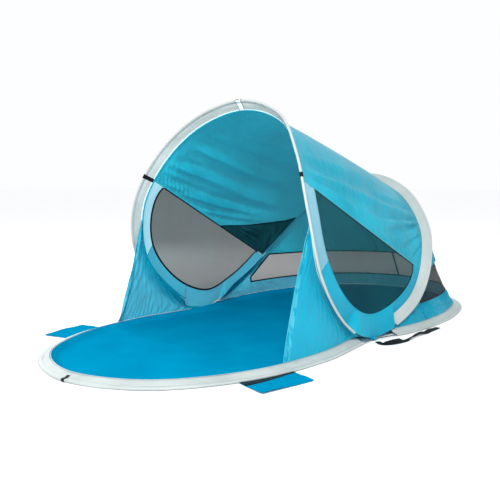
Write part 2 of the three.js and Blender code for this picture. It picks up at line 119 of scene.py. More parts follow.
def spline(points, s, closed):
    """Centripetal Catmull-Rom through the points; s counts them."""
    n = len(points)
    if closed:
        i, w = np.floor(s).astype(int), (s - np.floor(s))[:, None]
        p0, p1, p2, p3 = (points[(i + k) % n] for k in (-1, 0, 1, 2))
    else:
        padded = np.vstack([2 * points[0] - points[1], points, 2 * points[-1] - points[-2]])
        i = np.minimum(np.floor(s).astype(int), n - 2)
        w = (s - i)[:, None]
        p0, p1, p2, p3 = (padded[i + k] for k in (0, 1, 2, 3))
    d0, d1, d2 = (norm(b - a, axis=1)[:, None] ** 0.5 for a, b in ((p0, p1), (p1, p2), (p2, p3)))
    t1 = d1 * ((p1 - p0) / d0 - (p2 - p0) / (d0 + d1) + (p2 - p1) / d1)
    t2 = d1 * ((p2 - p1) / d1 - (p3 - p1) / (d1 + d2) + (p3 - p2) / d2)
    return p1 + t1 * w + (3 * (p2 - p1) - 2 * t1 - t2) * w**2 + (2 * (p1 - p2) + t1 + t2) * w**3


class Hoop:
    """A closed wire, symmetric about x = 0. Parameter 0 is its front end and 0.5 its rear end."""

    def __init__(self, half):
        right = np.array([(p[0], p[1], p[2] if len(p) > 2 else FLOOR_WIRE_Z) for p in half])
        self.points = np.vstack([right, right[-2:0:-1] * (-1, 1, 1)]) + ORIGIN
        ring = self.at(shares(2001))
        self.length = norm(np.diff(ring, axis=0), axis=1).sum()

    def at(self, t):
        return spline(self.points, (np.atleast_1d(np.asarray(t, float)) % 1.0) * len(self.points), True)

    def tangent(self, t):
        t = np.atleast_1d(np.asarray(t, float))
        return unit(self.at(t + 1e-4) - self.at(t - 1e-4))

    def solve(self, axis, goal, low, high):
        """The parameter between low and high where a coordinate takes the value goal."""
        rising = self.at(high)[0, axis] > self.at(low)[0, axis]
        for _ in range(40):
            middle = (low + high) / 2
            if (self.at(middle)[0, axis] < goal) == rising:
                low = middle
            else:
                high = middle
        return low


arch, floor = Hoop(ARCH_HALF), Hoop(FLOOR_HALF)


def arch_frame(t):
    """P on the wire, D across the sleeve to its inner edge, N square to the sleeve."""
    t = np.atleast_1d(np.asarray(t, float)) % 1.0
    P, T = arch.at(t), arch.tangent(t)
    inward = np.stack([0 * t, P[:, 1], 0 * t + 0.39], 1) - P
    inward = unit(inward - T * (inward * T).sum(1, keepdims=True))
    k = np.minimum(t, 1 - t) * 2 * (len(LEAN) - 1)
    i = np.minimum(np.floor(k).astype(int), len(LEAN) - 2)
    lean = mix(LEAN[i], LEAN[i + 1], smooth(0, 1, k - i))[:, None]
    D = inward * np.cos(lean) + np.cross(T, inward) * np.sin(lean)
    return P, D, np.cross(T, D)


def floor_frame(t):
    P, T = floor.at(t), floor.tangent(t)
    D = unit(np.cross(Z, T)) * math.cos(FLOOR_TILT) + Z * math.sin(FLOOR_TILT)
    return P, D, np.cross(T, D)


def arch_edge(t, width=SLEEVE_WIDTH, lift=0.0):
    P, D, N = arch_frame(t)
    return P + D * width + N * lift


def floor_edge(t, width=SLEEVE_WIDTH, lift=0.0):
    P, D, N = floor_frame(t)
    return P + D * width + N * lift


t_roof = arch.solve(2, ROOF_FRONT_Z, 0, ARCH_BOTTOM)
t_wing = arch.solve(2, WING_TOP_Z, 0, ARCH_BOTTOM)
t_strip = arch.solve(2, STRIP_END_Z, 0, ARCH_BOTTOM)
t_front = arch.solve(2, SLEEVE_END_Z[0], 0, ARCH_BOTTOM)
t_rear = arch.solve(2, SLEEVE_END_Z[1], ARCH_BOTTOM, 0.5)
t_roof_rear = arch.solve(2, ROOF_REAR_Z, ARCH_BOTTOM, 0.5)
t_heel = arch.solve(1, WING_HEEL_Y, 0.15, ARCH_BOTTOM)


def floor_at(y):
    return floor.solve(1, y, 0, 0.5)


def wall_foot(y):
    """Where a wall is sewn to the floor sleeve, at the places y."""
    return floor_edge(np.array([floor_at(v) for v in y]), SLEEVE_WIDTH - WALL_LAP, WALL_LIFT)


# ---- Noise and folds ----
def noise(x, y, seed=0):
    """Smooth value noise from -1 to 1."""
    xi, yi = np.floor(x), np.floor(y)
    xf, yf = x - xi, y - yi
    xf, yf = (k * k * k * (k * (k * 6 - 15) + 10) for k in (xf, yf))

    def corner(i, j):
        h = np.sin((xi + i) * 127.1 + (yi + j) * 311.7 + seed * 74.7) * 43758.5453
        return 2 * (h - np.floor(h)) - 1

    return mix(mix(corner(0, 0), corner(1, 0), xf), mix(corner(0, 1), corner(1, 1), xf), yf)


def crumple(x, y, size, seed=0):
    """Creases like those of a sheet that was packed folded: ridges of two octaves of noise."""
    total = 0
    for k, share in ((1.0, 0.65), (2.3, 0.35)):
        total = total + share * (1 - 2 * np.abs(noise(x * k / size, y * k / size, seed + k)))
    return total


def gathers(along, away, wave, depth, seed=0, skew=0.0):
    """Small pleats that stand square to a seam and fade with the distance from it."""
    place = (along + skew * away) / wave
    place = place + 0.55 * noise(place * 0.6, away / depth, seed)
    strength = 0.55 + 0.45 * noise(along / (3.1 * wave), away * 0, seed + 5)
    return strength * np.sin(2 * np.pi * place) * np.exp(-away / depth) * smooth(0, wave * 0.35, away)


class Patch:
    """A grid of points with the distances along both of its directions."""

    def __init__(self, points):
        self.p = points
        self.a = self._run(0)
        self.b = self._run(1)

    def _run(self, axis):
        step = norm(np.diff(self.p, axis=axis), axis=2)
        zero = np.zeros_like(self.p[:1, :, 0] if axis == 0 else self.p[:, :1, 0])
        return np.concatenate([zero, np.cumsum(step, axis=axis)], axis=axis)

    def from_edge(self, side):
        """Distance from one side: 'a0', 'a1', 'b0' or 'b1'."""
        run = self.a if side[0] == "a" else self.b
        if side[1] == "0":
            return run
        return (run[-1:, :] if side[0] == "a" else run[:, -1:]) - run

    def inside(self, reach, *sides):
        """0 at the named sides, or at all four, and 1 from reach inwards."""
        held = np.ones(self.p.shape[:2])
        for side in sides or ("a0", "a1", "b0", "b1"):
            held = held * smooth(0, reach, self.from_edge(side))
        return held

    def uv(self):
        n, m = self.p.shape[:2]
        return np.meshgrid(shares(n), shares(m), indexing="ij")

    def normals(self):
        da, db = np.gradient(self.p, axis=0), np.gradient(self.p, axis=1)
        n = np.cross(da, db)
        return n / np.maximum(norm(n, axis=2, keepdims=True), 1e-12)

    def lifted(self, height):
        return Patch(self.p + self.normals() * np.asarray(height)[..., None])

    def folds(self, rows):
        """Tension folds, narrow at their start. Rows: start, end (shares of the patch), widths, height."""
        u, v = self.uv()
        size = np.array([self.a[-1].mean(), self.b[:, -1].mean()])
        at = np.stack([u, v], -1) * size
        total = np.zeros_like(u)
        for start, end, width, height in rows:
            s, e = np.array(start) * size, np.array(end) * size
            run = e - s
            along = ((at - s) @ run) / (run @ run)
            across = ((at - s) @ np.array([-run[1], run[0]])) / norm(run)
            k = across / mix(width[0], width[1], np.clip(along, 0, 1))
            profile = np.exp(-k * k) - 0.42 * np.exp(-((np.abs(k) - 1.7) ** 2))
            total += height * profile * smooth(-0.02, 0.16, along) * (1 - smooth(0.55, 1.05, along))
        return total

    def cloth_uv(self):
        return np.stack([self.a, self.b], -1).reshape(-1, 2)

    def area(self):
        p = self.p
        cross = np.cross(p[1:, :-1] - p[:-1, :-1], p[:-1, 1:] - p[:-1, :-1])
        other = np.cross(p[1:, :-1] - p[1:, 1:], p[:-1, 1:] - p[1:, 1:])
        return (norm(cross, axis=2).sum() + norm(other, axis=2).sum()) / 2


def between(start, end, count):
    """A patch of straight lines from the rows of start to those of end."""
    k = shares(count)[None, :, None]
    return Patch(mix(start[:, None, :], end[:, None, :], k))


def mirrored(patch):
    return Patch((patch.p * (-1, 1, 1))[:, ::-1])


# ---- Mesh pieces ----
def new_object(name, vertices, faces, material, uv=None, weld=None):
    mesh = bpy.data.meshes.new(name)
    mesh.from_pydata([tuple(v) for v in vertices], [], [tuple(f) for f in faces])
    if uv is not None:
        layer = mesh.uv_layers.new(name="Cloth")
        loops = np.zeros(len(mesh.loops), np.int32)
        mesh.loops.foreach_get("vertex_index", loops)
        layer.data.foreach_set("uv", np.asarray(uv)[loops].astype(np.float32).ravel())
    mesh.materials.append(material)
    mesh.polygons.foreach_set("use_smooth", [True] * len(mesh.polygons))
    ob = bpy.data.objects.new(name, mesh)
    bpy.context.scene.collection.objects.link(ob)
    if weld:
        bm = bmesh.new()
        bm.from_mesh(mesh)
        bmesh.ops.remove_doubles(bm, verts=bm.verts, dist=weld)
        bm.to_mesh(mesh)
        bm.free()
    mesh.update()
    return ob


def grid_faces(n, m, round_a=False, round_b=False):
    i, j = np.meshgrid(np.arange(n if round_a else n - 1), np.arange(m if round_b else m - 1), indexing="ij")
    i, j = i.ravel(), j.ravel()
    i2, j2 = (i + 1) % n, (j + 1) % m
    return np.stack([i * m + j, i2 * m + j, i2 * m + j2, i * m + j2], 1)


def cloth_piece(name, patch, material, weld=None):
    """One sheet of cloth over a patch."""
    n, m = patch.p.shape[:2]
    return new_object(name, patch.p.reshape(-1, 3), grid_faces(n, m), material, patch.cloth_uv(), weld)


def slab_piece(name, patch, thickness, material, lift=0.0):
    """A closed strip or flap: the patch's grid given a thickness, with its rim."""
    n, m = patch.p.shape[:2]
    normal = patch.normals()
    top = patch.p + normal * (lift + thickness / 2)
    low = patch.p + normal * (lift - thickness / 2)
    faces = grid_faces(n, m)
    other = faces[:, ::-1] + n * m
    index = np.arange(n * m).reshape(n, m)
    ring = np.concatenate([index[:-1, 0], index[-1, :-1], index[:0:-1, -1], index[0, :0:-1]])
    after = np.roll(ring, -1)
    rim = np.stack([after, ring, ring + n * m, after + n * m], 1)
    uv = np.tile(patch.cloth_uv(), (2, 1))
    everything = [*faces, *other, *rim]
    ob = new_object(name, np.vstack([top.reshape(-1, 3), low.reshape(-1, 3)]), everything, material, uv)
    sharp_edges(ob)
    return ob


def sharp_edges(ob, degrees=50):
    ob.data.set_sharp_from_angle(angle=math.radians(degrees))


def tube_piece(name, rings, material, closed=False, cap=True):
    """Rings of points joined into a tube."""
    n, m = rings.shape[:2]
    faces = list(grid_faces(n, m, closed, True)[:, ::-1])
    if cap and not closed:
        faces.append(np.arange(m))
        faces.append(np.arange(m)[::-1] + (n - 1) * m)
    return new_object(name, rings.reshape(-1, 3), faces, material, Patch(rings).cloth_uv())


def swept(P, D, N, section):
    """Rings of a section (k, 2), or one section for each ring (n, k, 2)."""
    section = np.asarray(section)
    if section.ndim == 2:
        section = np.broadcast_to(section, (len(P), *section.shape))
    return P[:, None] + D[:, None] * section[..., :1] + N[:, None] * section[..., 1:]


def stitch_piece(name, lines, material, pitch=0.0055, length=0.0036, width=0.0007):
    """Rows of thread stitches. Each line is (route, normal): points and the face they lie on."""
    box = np.array([(x, y, z) for x in (-1, 1) for y in (-1, 1) for z in (0, 1)], float)
    sides = np.array([(0, 1, 3, 2), (4, 6, 7, 5), (0, 4, 5, 1), (2, 3, 7, 6), (0, 2, 6, 4), (1, 5, 7, 3)])
    vertices, faces, count = [], [], 0
    for route, normal in lines:
        s = run_along(route)
        at = np.arange(pitch, s[-1] - pitch, pitch)
        P, N, Q = (
            np.stack([np.interp(place, s, line[:, k]) for k in range(3)], 1)
            for place, line in ((at, route), (at, normal), (at + 1e-3, route))
        )
        N, T = unit(N), unit(Q - P)
        B = np.cross(N, T)
        size = (length / 2, width / 2, width * 0.5)
        corners = sum(axis[:, None] * (box[None, :, k, None] * size[k]) for k, axis in enumerate((T, B, N)))
        vertices.append((P[:, None] + corners).reshape(-1, 3))
        faces.append((sides[None] + 8 * (count + np.arange(len(P)))[:, None, None]).reshape(-1, 4))
        count += len(P)
    ob = new_object(name, np.vstack(vertices), np.vstack(faces), material)
    ob.data.polygons.foreach_set("use_smooth", [False] * len(ob.data.polygons))
    return ob


def finish_piece(ob, body, slot, *nodes):
    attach(ob, body)
    if nodes:
        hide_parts(*nodes)


def trim(name, route, across, material, slot, width, thickness, lift=0.0, *nodes):
    """A flat tape with rounded edges along a route; across lies in the wall it is sewn to."""
    T = unit(np.gradient(route, axis=0))
    N = unit(np.cross(T, across))
    w, t = width / 2, thickness / 2
    half = [(1, 0), (0.9, 0.75), (0.55, 1), (-0.55, 1), (-0.9, 0.75)]
    section = [(-w * x, t * z) for x, z in half] + [(w * x, -t * z) for x, z in half]
    ob = tube_piece(name, swept(route + N * lift, np.cross(N, T), N, section), material)
    finish_piece(ob, "tent", slot, *nodes)


def declare(patch, rests_on):
    """The sheet's flat size is the panel's own, measured along its middle before any fold."""
    length, width = round(float(patch.a[-1].max()), 3), round(float(patch.b[:, -1].max()), 3)
    area = float(patch.area() * 1.01)
    if area < 0.45 * width * length:  # a slanting cut: the rectangle round it is shorter than it
        length = round(area / (0.5 * width), 3)
    area = min(area, width * length)
    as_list(rests_on)


def sheet_piece(name, plain, folded, material, slot, rests_on, *nodes):
    """One panel of the tent: the plain patch is its flat cut, the folded one its shape."""
    ob = cloth_piece(name, folded, material)
    finish_piece(ob, "tent", slot, *nodes)
    declare(plain, rests_on)


# ---- Materials ----
def node(tree, kind, inputs=None, **settings):
    """A shader node. Its inputs are numbers, or the outputs that they are linked to."""
    made = tree.nodes.new("ShaderNode" + kind)
    for key, value in settings.items():
        setattr(made, key, value)
    for key, value in (inputs or {}).items():
        if isinstance(value, bpy.types.NodeSocket):
            tree.links.new(value, made.inputs[key])
        else:
            made.inputs[key].default_value = value
    return made


def ramp(tree, source, stops):
    made = node(tree, "ValToRGB", {"Fac": source})
    elements = made.color_ramp.elements
    while len(elements) < len(stops):
        elements.new(0.5)
    for element, (position, colour) in zip(elements, stops):
        element.position = position
        element.color = (*colour, 1)
    return made.outputs["Color"]


def spread(tree, source, low, high, top=1.0):
    """The source's 0 to top turned into low to high."""
    inputs = {"Value": source, "From Max": top, "To Min": low, "To Max": high}
    return node(tree, "MapRange", inputs).outputs["Result"]


def noise_node(tree, scale, detail=3.0, stretch=None):
    where = node(tree, "TexCoord").outputs["Object"]
    if stretch:
        where = node(tree, "Mapping", {"Vector": where, "Scale": stretch}).outputs["Vector"]
    return node(tree, "TexNoise", {"Vector": where, "Scale": scale, "Detail": detail}).outputs["Fac"]


def threads(tree, pitch):
    """Warp and weft as two sets of bands along the sheet's own directions, added."""
    where = node(tree, "TexCoord").outputs["UV"]
    inputs = {"Vector": where, "Scale": 2 * math.pi / (20 * pitch), "Distortion": 0.0}
    warp, weft = (node(tree, "TexWave", inputs, bands_direction=way).outputs["Fac"] for way in "XY")
    return node(tree, "Math", {0: warp, 1: weft}, operation="ADD").outputs[0]


def bumped(tree, *layers):
    """A normal from (height, strength, distance) layers."""
    inputs = {}
    for height, strength, distance in layers:
        inputs.update({"Height": height, "Strength": strength, "Distance": distance})
        inputs["Normal"] = node(tree, "Bump", inputs).outputs["Normal"]
    return inputs["Normal"]


def new_material(name, build, *settings):
    """A material whose surface is what build(tree, *settings) makes."""
    material = bpy.data.materials.new(name)
    material.use_nodes = True
    tree = material.node_tree
    tree.nodes.clear()
    node(tree, "OutputMaterial", {"Surface": build(tree, *settings)})
    return material


def principled(tree, inputs):
    return node(tree, "BsdfPrincipled", inputs).outputs["BSDF"]


def mixed(tree, share, first, second):
    return node(tree, "MixShader", {0: share, 1: first, 2: second}).outputs["Shader"]


def fabric(name, shades, rough, through, glow, sheen=0.06, weave=0.0011, crease=1.0, gloss=0.5):
    """Woven polyester: shades from dark to light, rough = (low, high), and a share of light let through."""

    def build(tree):
        stops = [(0.3 + 0.4 * i / (len(shades) - 1), c) for i, c in enumerate(shades)]
        normal = bumped(
            tree, (noise_node(tree, 9.0, 6.0), 0.35 * crease, 0.012),
            (noise_node(tree, 45.0, 4.0), 0.3 * crease, 0.0022), (threads(tree, weave), 0.25, 0.00018),
        )
        skin = principled(tree, {
            "Base Color": ramp(tree, noise_node(tree, 5.0, 5.0), stops),
            "Roughness": spread(tree, noise_node(tree, 22.0, 4.0), *rough),
            "Sheen Weight": sheen, "Sheen Roughness": 0.4, "Specular IOR Level": gloss, "Normal": normal,
        })
        if through <= 0:
            return skin
        lit = node(tree, "BsdfTranslucent", {"Color": (*glow, 1), "Normal": normal}).outputs["BSDF"]
        return mixed(tree, through, skin, lit)

    return new_material(name, build)


def mesh_cloth(name, cover, shades, pitch=0.0022):
    """See-through netting: threads that cover a share of what is behind them."""

    def build(tree):
        skin = principled(tree, {
            "Base Color": ramp(tree, noise_node(tree, 7.0, 4.0), [(0.35, shades[0]), (0.68, shades[1])]),
            "Roughness": 0.72, "Specular IOR Level": 0.08,
            "Normal": bumped(tree, (noise_node(tree, 14.0, 4.0), 0.5, 0.008)),
        })
        weave = spread(tree, threads(tree, pitch), cover - 0.13, cover + 0.13, 2.0)
        return mixed(tree, weave, node(tree, "BsdfTransparent").outputs["BSDF"], skin)

    return new_material(name, build)


def webbing(name, shades, rough=0.62):
    """Woven tape with ribs across it."""

    def build(tree):
        ribs, fibres = (threads(tree, 0.0021), 0.5, 0.0005), (noise_node(tree, 240.0, 2.0), 0.2, 0.0002)
        return principled(tree, {
            "Base Color": ramp(tree, noise_node(tree, 60.0, 3.0), [(0.35, shades[0]), (0.7, shades[1])]),
            "Roughness": rough, "Specular IOR Level": 0.12, "Normal": bumped(tree, ribs, fibres),
        })

    return new_material(name, build)


def metal(name, shades, rough):
    def build(tree):
        brushed = noise_node(tree, 90.0, 3.0, (1, 1, 6))
        return principled(tree, {
            "Base Color": ramp(tree, brushed, [(0.35, shades[0]), (0.7, shades[1])]),
            "Metallic": 0.85, "Roughness": spread(tree, brushed, *rough),
        })

    return new_material(name, build)


SATIN, MATT = (0.26, 0.42), (0.45, 0.6)
ROOF = fabric(
    "roof_cloth", [(0.0, 0.3, 0.41), (0.0, 0.35, 0.48), (0.0, 0.41, 0.55)], SATIN, 0.2, (0.07, 0.46, 0.55),
    sheen=0.0, crease=1.7, gloss=0.26,
)
SIDE = fabric(
    "side_cloth", [(0.0, 0.31, 0.46), (0.0, 0.36, 0.53), (0.0, 0.42, 0.6)], SATIN, 0.26, (0.16, 0.54, 0.66),
    sheen=0.0, gloss=0.14,
)
# The side cloth doubled over at the wing's edge; its lighter shades are painted light that its crinkled edge
# catches.
HEM_PAINTED_LIGHT = fabric(
    "hem_painted_light", [(0.0, 0.36, 0.52), (0.03, 0.44, 0.6), (0.1, 0.54, 0.68)], (0.3, 0.46), 0.15,
    (0.1, 0.5, 0.62), crease=1.4, gloss=0.3,
)
PALE = fabric(
    "pale_cloth", [(0.17, 0.45, 0.55), (0.23, 0.52, 0.62), (0.31, 0.6, 0.69)], (0.3, 0.46), 0.45,
    (0.42, 0.74, 0.84), gloss=0.4,
)
FLOOR = fabric(
    "floor_cloth", [(0.0, 0.2, 0.37), (0.0, 0.222, 0.4), (0.0, 0.245, 0.43)], (0.6, 0.75), 0.0, (0, 0, 0),
    sheen=0.0, weave=0.0016, crease=0.7, gloss=0.0,
)
SLEEVE = fabric(
    "sleeve_cloth", [(0.4, 0.455, 0.445), (0.455, 0.51, 0.5), (0.52, 0.575, 0.56)], MATT, 0.14,
    (0.8, 0.88, 0.87), sheen=0.05, weave=0.0013, crease=1.2, gloss=0.36,
)
TAG = fabric("tag_cloth", [(0.8, 0.84, 0.83), (0.86, 0.89, 0.88)], MATT, 0.1, (0.85, 0.9, 0.9), weave=0.0013)
MESH = {
    "right": mesh_cloth("window_mesh_right", 0.66, [(0.001, 0.03, 0.034), (0.003, 0.05, 0.056)]),
    "left": mesh_cloth("window_mesh_left", 0.85, [(0.001, 0.034, 0.036), (0.004, 0.062, 0.064)]),
}
REAR_MESH = mesh_cloth("rear_mesh_cloth", 0.78, [(0.006, 0.016, 0.017), (0.018, 0.028, 0.027)])
# The corner pocket's near-black net is partly its own dark colour and partly painted shade of the roof's rear
# left corner.
POCKET_NET_AND_SHADE = mesh_cloth("pocket_net_and_shade", 0.9, [(0.001, 0.026, 0.033), (0.006, 0.07, 0.082)])
TAPE = webbing("tape_black", [(0.002, 0.005, 0.007), (0.006, 0.011, 0.014)])
BLUE_TAPE = webbing("tape_blue", [(0.0, 0.27, 0.4), (0.0, 0.37, 0.52)], 0.5)
# A pale cyan-white tape that stands in for the highlight along the sleeve's inner edge: painted highlight.
EDGE_HIGHLIGHT_STRIP = webbing("painted_edge_highlight", [(0.66, 0.9, 0.94), (0.78, 0.95, 0.97)], 0.4)
STITCH_GREY = webbing("seam_grey", [(0.16, 0.19, 0.19), (0.24, 0.28, 0.28)])
THREAD = webbing("thread_grey", [(0.42, 0.47, 0.47), (0.55, 0.6, 0.6)])
STEEL = metal("spring_wire", [(0.02, 0.022, 0.024), (0.06, 0.062, 0.064)], (0.35, 0.5))
FERRULE = metal("ferrule_metal", [(0.45, 0.43, 0.38), (0.6, 0.58, 0.54)], (0.25, 0.4))

# ---- Hoops ----
WIRE_STEPS, WIRE_SIDES = 360, 14


def ring_section(radius, count):
    a = np.linspace(0, 2 * np.pi, count, endpoint=False)
    return np.stack([radius * np.cos(a), radius * np.sin(a)], 1)


for part, frame_at in (("arch_hoop", arch_frame), ("floor_hoop", floor_frame)):
    t = np.linspace(0.5, 1.5, WIRE_STEPS + 1)[:-1]
    rings = swept(*frame_at(t), ring_section(WIRE_R, WIRE_SIDES))
    wire = tube_piece(f"{part}_spring", rings, STEEL, closed=True)
    finish_piece(wire, "tent", "spring_steel", f"{part}_wire")
    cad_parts[f"{part}_ferrule"].data.materials.clear()
    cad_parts[f"{part}_ferrule"].data.materials.append(FERRULE)

# ---- Sleeves ----
BLACK, BLUE, WALL = (TAPE, "tape_black"), (BLUE_TAPE, "side_blue"), (SIDE, "side_blue")
BOTH = (("right", 1), ("left", -1))
ARCH_SLEEVES = ["arch_sleeve_front", "arch_sleeve_rear"]
# (across, height) of the upper face: the fold round the wire, a stitched channel, a flat band.
SLEEVE_TOP = [
    (-0.0052, 0.0), (-0.0047, 0.0023), (-0.0034, 0.0041), (-0.0014, 0.0051), (0.001, 0.0051),
    (0.0036, 0.0042), (0.0064, 0.0029), (0.0092, 0.0017), (0.011, 0.0011), (0.0122, 0.0009),
    (0.0136, 0.0013), (0.016, 0.0016), (0.02, 0.0016), (0.025, 0.0016), (0.03, 0.0015),
    (0.035, 0.0015), (0.0395, 0.0014), (0.0418, 0.0008), (0.044, 0.0012), (0.046, 0.0009),
]
SLEEVE_SECTION = np.array(SLEEVE_TOP + [(x, -z) for x, z in SLEEVE_TOP[:0:-1]])
SLEEVE_STEP = 0.009
STITCH_AT = (0.0122, 0.0418)


def sleeve_height(across):
    return np.interp(across, [p[0] for p in SLEEVE_TOP], [p[1] for p in SLEEVE_TOP])


def sleeve(name, frame_at, hoop, start, end, seed, *nodes):
    """A flat sleeve swept along a hoop, its band slightly rippled, with two rows of stitches."""
    run = (end - start) * hoop.length
    t = np.linspace(start, end, max(12, int(run / SLEEVE_STEP)))
    P, D, N = frame_at(t)
    s = (t * hoop.length)[:, None]
    x = SLEEVE_SECTION[None, :, 0]
    band = smooth(0.012, 0.022, x) * (1 - smooth(0.036, 0.0455, x))
    ripple = 0.0017 * noise(s / 0.055, x / 0.05, seed)
    ripple += 0.0009 * noise((s + 1.2 * x) / 0.021, x / 0.03, seed + 1)
    section = np.stack([x + 0 * s, SLEEVE_SECTION[None, :, 1] + band * ripple], -1)
    ob = tube_piece(name, swept(P, D, N, section), SLEEVE)
    sharp_edges(ob, 60)
    finish_piece(ob, "tent", "sleeve_grey", *nodes)
    lines = []
    for across in STITCH_AT:
        for side in (1, -1):
            lines.append((P + D * across + N * side * sleeve_height(across), N * side))
    finish_piece(stitch_piece(f"{name}_stitching", lines, THREAD), "tent", "sleeve_grey")


patch_from, patch_to = floor_at(PATCH_Y[0]), floor_at(PATCH_Y[1])
rear_from = floor_at(BACK_SLEEVE_Y)
sleeve("arch_sleeve_front", arch_frame, arch, -t_front, t_front, 3, "front_arch_sleeve")
sleeve("arch_sleeve_rear", arch_frame, arch, t_rear, 1 - t_rear, 11, "rear_arch_sleeve")
sleeve("porch_sleeve", floor_frame, floor, -patch_from, patch_from, 23, "floor_sleeve_front")
sleeve("back_sleeve", floor_frame, floor, rear_from, 1 - rear_from, 31, "floor_sleeve_rear")
sleeve("patch_sleeve_right", floor_frame, floor, patch_from, patch_to, 41, "sleeve_patch_right")
sleeve("patch_sleeve_left", floor_frame, floor, -patch_to, -patch_from, 43, "sleeve_patch_left")

BAND_LIFT, BAND_THICK = 0.0006, 0.0012
BAND_WIDTH, BAND_REACH = 0.018, 0.0455


def wrap_section(reach):
    """A band folded round the sleeve, open at the sleeve's inner edge."""
    across = np.array([p[0] for p in SLEEVE_TOP if p[0] < reach] + [reach])
    height = sleeve_height(across)

    def side(extra):
        x = across.copy()
        x[across < 0] -= extra * 0.9
        z = height + extra
        z[0] = 0
        return list(zip(x, z)) + [(a, -b) for a, b in list(zip(x, z))[:0:-1]]

    outer, inner = side(BAND_LIFT + BAND_THICK), side(BAND_LIFT)
    half = len(across)
    outer = [*outer[half:], *outer[:half]]
    inner = [*inner[half:], *inner[:half]]
    return np.array(outer + inner[::-1])


def band(name, frame_at, hoop, t, width, reach, material, slot, *nodes):
    half = width / 2 / hoop.length
    rings = swept(*frame_at(np.linspace(t - half, t + half, 9)), wrap_section(reach))
    rings[..., 2] = np.maximum(rings[..., 2], LEAST_Z)
    ob = tube_piece(name, rings, material)
    sharp_edges(ob, 40)
    finish_piece(ob, "tent", slot, *nodes)


for side, t in (("right", t_roof), ("left", -t_roof)):
    band(f"band_{side}", arch_frame, arch, t, BAND_WIDTH, BAND_REACH, *BLACK, f"arch_band_{side}")
band("band_top", arch_frame, arch, 0.0, 0.026, BAND_REACH, TAG, "sleeve_grey", "arch_band_top")
for side, place in (("right", -0.0145), ("left", 0.0145)):
    t = place / arch.length
    band(f"band_top_seam_{side}", arch_frame, arch, t, 0.0026, BAND_REACH, STITCH_GREY, "sleeve_grey")
band("band_top_edge", arch_frame, arch, -0.004 / arch.length, 0.02, 0.004, *BLACK)
band("porch_band", floor_frame, floor, 0.004, 0.014, 0.024, *BLACK, "floor_band_front")

# The two wires are tied together at each crossing by a loop of cloth with its tails turned under.
TIE_MARGIN, TIE_HALF, TIE_POWER = 0.0004, 0.011, 0.62


def tie(name, node_name):
    low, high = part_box(node_name)
    middle = np.array([(low[k] + high[k]) / 2 for k in range(3)])
    rx, rz = (high[0] - low[0]) / 2 - TIE_MARGIN, (high[2] - low[2]) / 2 - TIE_MARGIN
    a = np.linspace(0, 2 * np.pi, 32, endpoint=False)
    rings = []
    for k in np.linspace(-1, 1, 11):
        bulge = 1 - 0.16 * k * k + 0.05 * np.sin(5 * k + a * 2)
        x = np.sign(np.cos(a)) * np.abs(np.cos(a)) ** TIE_POWER * rx * bulge
        z = np.sign(np.sin(a)) * np.abs(np.sin(a)) ** TIE_POWER * rz * bulge
        y = np.full_like(a, middle[1] + TIE_HALF * k)
        rings.append(np.stack([middle[0] + x, y, np.maximum(middle[2] + z, LEAST_Z)], 1))
    ob = tube_piece(name, np.array(rings), SIDE)
    sharp_edges(ob, 50)
    finish_piece(ob, "tent", "side_blue", node_name)


tie("crossing_tie_right", "hoop_tie_right")
tie("crossing_tie_left", "hoop_tie_left")

# ---- Groundsheet: one sheet from rim to rim ----
RIM_LAP, RIM_LIFT, RIM_WIDTH = 0.005, 0.0021, 0.042
SHEET_Z, SPINE_END = 0.0012, 0.2
t = np.linspace(-0.5, 0.5, 421)
edge = floor_edge(t, SLEEVE_WIDTH - RIM_LAP, RIM_LIFT)
inner = floor_edge(t, SLEEVE_WIDTH + RIM_WIDTH)
inner[:, 2] = SHEET_Z
spine = inner * (0, 1, 1)
spine[:, 1] = np.clip(spine[:, 1], inner[:, 1].min() + SPINE_END, inner[:, 1].max() - SPINE_END)
drop = shares(9)
rim = mix(edge[:, None], inner[:, None], drop[None, :, None])
rim[..., 2] = mix(edge[:, None, 2], SHEET_Z, np.sin(drop * np.pi / 2)[None] ** 1.4)
flat_part = mix(inner[:, None], spine[:, None], (shares(27)[1:] ** 0.9)[None, :, None])
ground = Patch(np.concatenate([rim, flat_part], 1))
x, y = ground.p[..., 0], ground.p[..., 1]
height = 0.0022 * np.maximum(0, noise(x / 0.16, y / 0.22, 61)) * smooth(0.05, 0.16, ground.b)
height += 0.0016 * np.abs(gathers(ground.a, ground.b, 0.034, 0.035, 62))
height += 0.0007 * np.maximum(0, crumple(x, y, 0.3, 66))
ground_cloth = Patch(ground.p + height[..., None] * Z)
ground_cloth.p[..., 2] = np.maximum(ground_cloth.p[..., 2], 0.0006)
ob = cloth_piece("floor_sheet", ground_cloth, FLOOR, weld=1e-4)
finish_piece(ob, "tent", "floor_blue", "groundsheet", "floor_rim_front", "floor_rim_rear")

